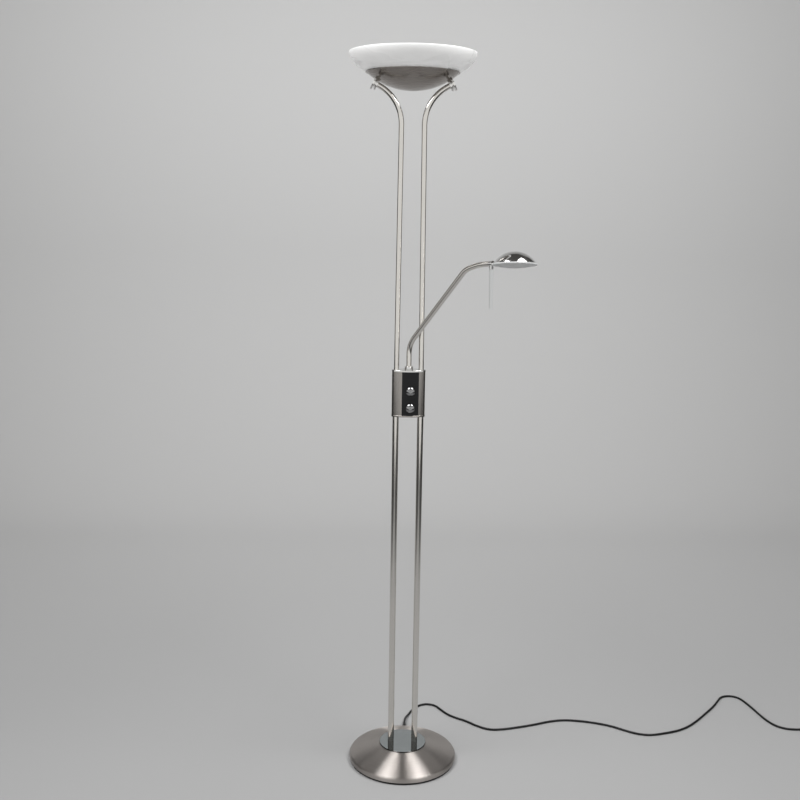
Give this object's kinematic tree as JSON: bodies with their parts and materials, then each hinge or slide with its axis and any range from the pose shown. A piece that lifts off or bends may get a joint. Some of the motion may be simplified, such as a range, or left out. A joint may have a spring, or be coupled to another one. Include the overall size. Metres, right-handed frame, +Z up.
{
  "type": "torchiere floor lamp",
  "caption": "Torchiere floor lamp: round base, twin poles, dimmer box, bent tubes carrying a glass bowl on a metal dish, and a swivelling reading arm with a small shade and a glass handle.",
  "frame": {"origin": "on the floor, at the middle of the base pad's underside", "axes": "+Z up along the lamp's height; the box's front, with its dials, faces -Y; +X is on the viewer's right"},
  "size_m": [1.4968, 0.5864, 1.808],
  "materials": {
    "satin_cover": "satin",
    "satin_tube": "satin",
    "polished_metal": "polished",
    "zinc_metal": "satin",
    "cast_metal": "matte",
    "aluminium": "satin",
    "black_gloss": "gloss",
    "black_plastic": "matte",
    "black_rubber": "matte",
    "white_glass": "satin",
    "frosted_glass": "satin",
    "clear_glass": "gloss",
    "ceramic": "matte",
    "brass": "satin"
  },
  "bodies": {
    "stand": {"arm_bush": "polished_metal", "base_cover": "satin_cover", "base_pad": "black_rubber", "base_top_plate": "polished_metal", "base_weight": "cast_metal", "cable_gland": "black_rubber", "centre_nut": "zinc_metal", "centre_stud": "zinc_metal", "clamp_cap_left": "satin_tube", "clamp_cap_right": "satin_tube", "control_box_bottom_cap": "polished_metal", "control_box_front_panel": "black_gloss", "control_box_sleeve": "satin_cover", "control_box_top_cap": "polished_metal", "cord_coil": "black_rubber", "cord_stretch": "black_rubber", "dimmer_lower": "black_plastic", "dimmer_upper": "black_plastic", "dish": "satin_cover", "dish_lug_left": "satin_cover", "dish_lug_right": "satin_cover", "glass_bowl": "white_glass", "glass_support": "zinc_metal", "glass_washer": "black_rubber", "halogen_tube": "clear_glass", "lamp_bracket": "zinc_metal", "lamp_sockets": "ceramic", "lower_pole_left": "satin_tube", "lower_pole_right": "satin_tube", "plug_body": "black_plastic", "plug_pins": "brass", "pole_foot_bolts": "zinc_metal", "pole_foot_plugs": "zinc_metal", "pole_joiners": "zinc_metal", "tube_flange_left": "satin_tube", "tube_flange_right": "satin_tube", "upper_tube_left": "satin_tube", "upper_tube_right": "satin_tube"},
    "arm": {"arm_tube": "satin_tube", "arm_collar": "polished_metal", "arm_circlip": "zinc_metal"},
    "head": {"head_knuckle": "polished_metal", "head_shade": "polished_metal", "head_socket": "ceramic", "head_bulb": "clear_glass", "head_reflector": "aluminium", "head_diffuser": "frosted_glass", "diffuser_ring": "polished_metal", "handle_ferrule": "polished_metal", "handle_rod": "clear_glass"},
    "dial_upper": {"knob_upper": "polished_metal", "dimmer_shaft_upper": "black_plastic"},
    "dial_lower": {"knob_lower": "polished_metal", "dimmer_shaft_lower": "black_plastic"}
  },
  "joints": [
    {"name": "arm_swivel", "type": "hinge", "parent": "stand", "child": "arm", "pos_m": [0, 0, 1.046], "axis": [0, 0, 1], "range_deg": [-113, 12]},
    {"name": "head_roll", "type": "hinge", "parent": "arm", "child": "head", "pos_m": [0.17614, -0.14264, 1.31719], "axis": [0.7722, -0.6253, 0.1132], "range_deg": [-53, 67]},
    {"name": "dial_upper_turn", "type": "hinge", "parent": "stand", "child": "dial_upper", "pos_m": [0.004, -0.02, 0.995], "axis": [0, 1, 0], "range_deg": [0, 270]},
    {"name": "dial_lower_turn", "type": "hinge", "parent": "stand", "child": "dial_lower", "pos_m": [0.004, -0.02, 0.953], "axis": [0, 1, 0], "range_deg": [0, 270]}
  ]
}
